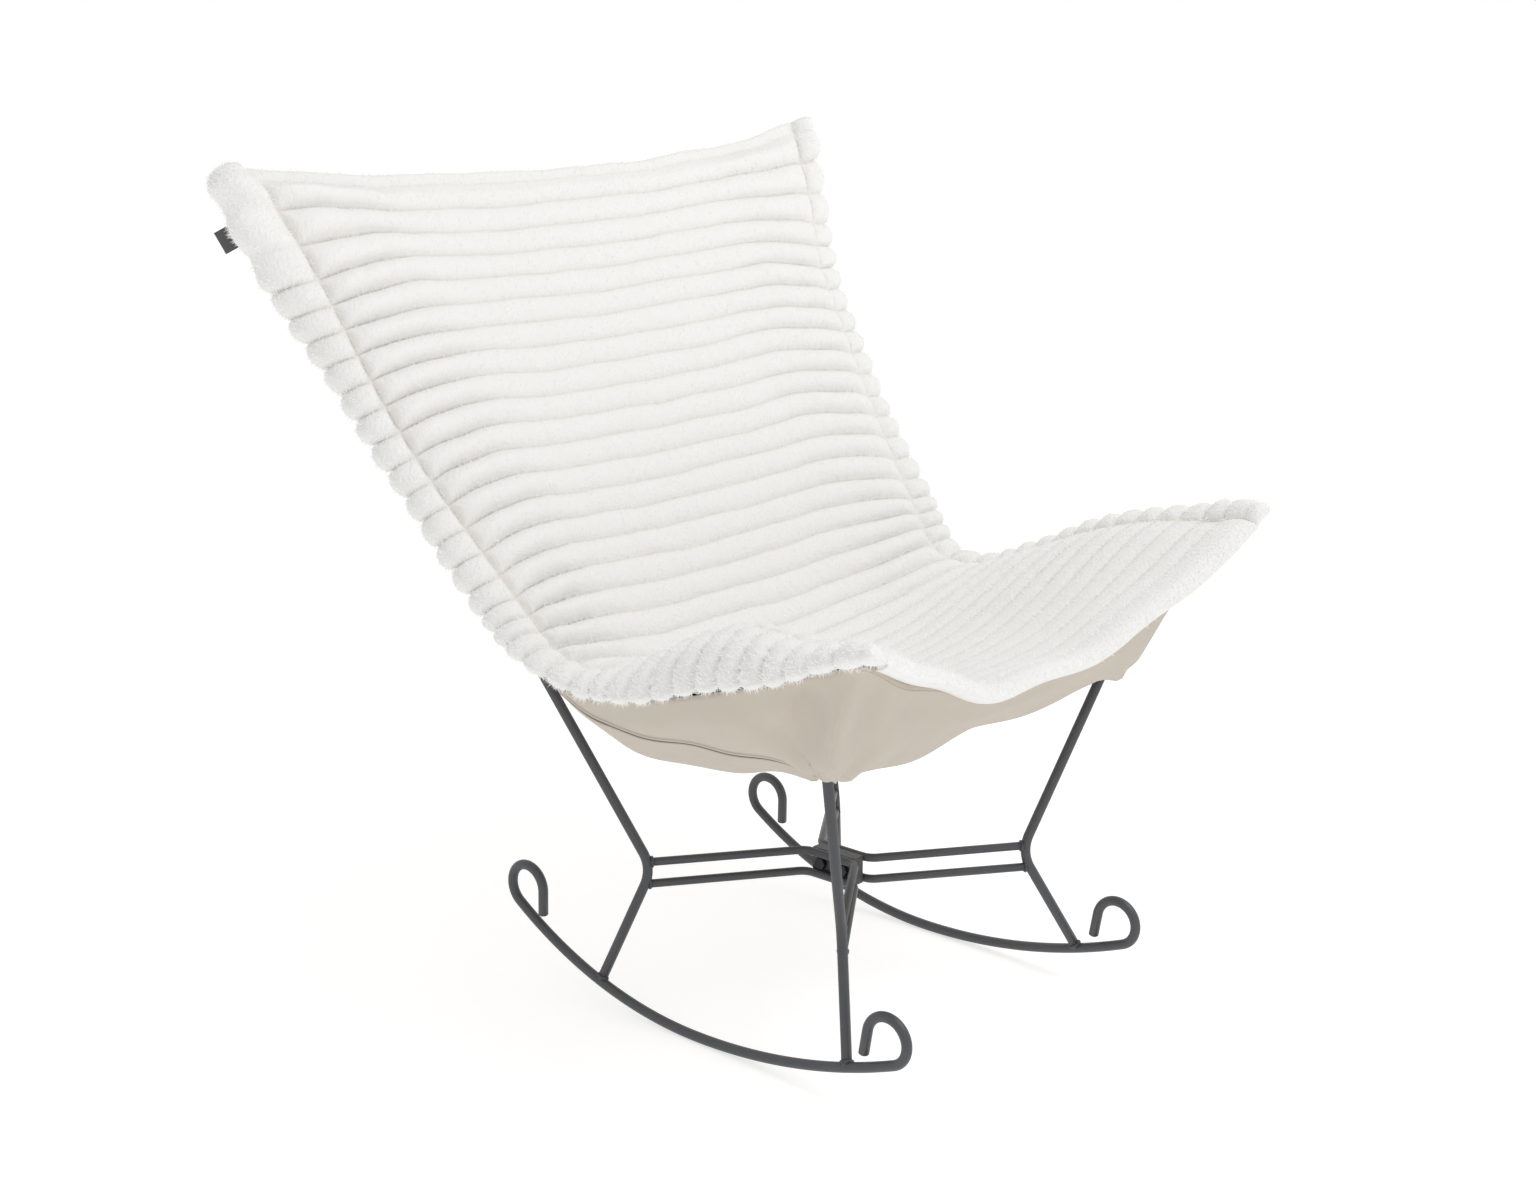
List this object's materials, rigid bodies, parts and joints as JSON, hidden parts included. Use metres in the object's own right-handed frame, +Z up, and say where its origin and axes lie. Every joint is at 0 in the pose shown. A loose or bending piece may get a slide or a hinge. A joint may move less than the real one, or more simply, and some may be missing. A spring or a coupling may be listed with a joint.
{
  "type": "upholstered rocking chair",
  "caption": "Rocking lounge chair: a bent round-bar frame on curled rockers carries a padded sling seat with a channelled plush cover and a canvas underside.",
  "frame": {"origin": "on the floor, under the middle of the chair's bounding box", "axes": "+X to the sitter's left, -Y to the front, where the sitter faces, +Z up"},
  "size_m": [0.9886, 0.8274, 0.9738],
  "materials": {
    "charcoal_powder_coat": "fine-textured charcoal powder coat, semi-gloss",
    "black_zinc": "black zinc plating",
    "black_vinyl": "matt soft vinyl",
    "white_plush": "short white pile, sewn in channels",
    "beige_canvas": "plain woven canvas",
    "white_fibre": "loose fibre fill",
    "grey_tag_cloth": "blank woven tape"
  },
  "bodies": {
    "root": {"rocker_left": "charcoal_powder_coat", "rocker_right": "charcoal_powder_coat", "front_upright_left": "charcoal_powder_coat", "front_upright_right": "charcoal_powder_coat", "rear_upright_left": "charcoal_powder_coat", "rear_upright_right": "charcoal_powder_coat", "upper_stretcher_left": "charcoal_powder_coat", "upper_stretcher_right": "charcoal_powder_coat", "lower_stretcher_left": "charcoal_powder_coat", "lower_stretcher_right": "charcoal_powder_coat", "hub_plate_left": "charcoal_powder_coat", "hub_plate_right": "charcoal_powder_coat", "hub_bolt_front": "black_zinc", "hub_bolt_rear": "black_zinc", "hub_nut_front": "black_zinc", "hub_nut_rear": "black_zinc", "front_rod_cap_left": "black_vinyl", "front_rod_cap_right": "black_vinyl", "rear_rod_cap_left": "black_vinyl", "rear_rod_cap_right": "black_vinyl", "front_pocket_left": "beige_canvas", "front_pocket_right": "beige_canvas", "rear_pocket_left": "beige_canvas", "rear_pocket_right": "beige_canvas", "plush_cover": "white_plush", "cushion_fill": "white_fibre", "canvas_sling": "beige_canvas", "blank_tag": "grey_tag_cloth"}
  },
  "joints": []
}
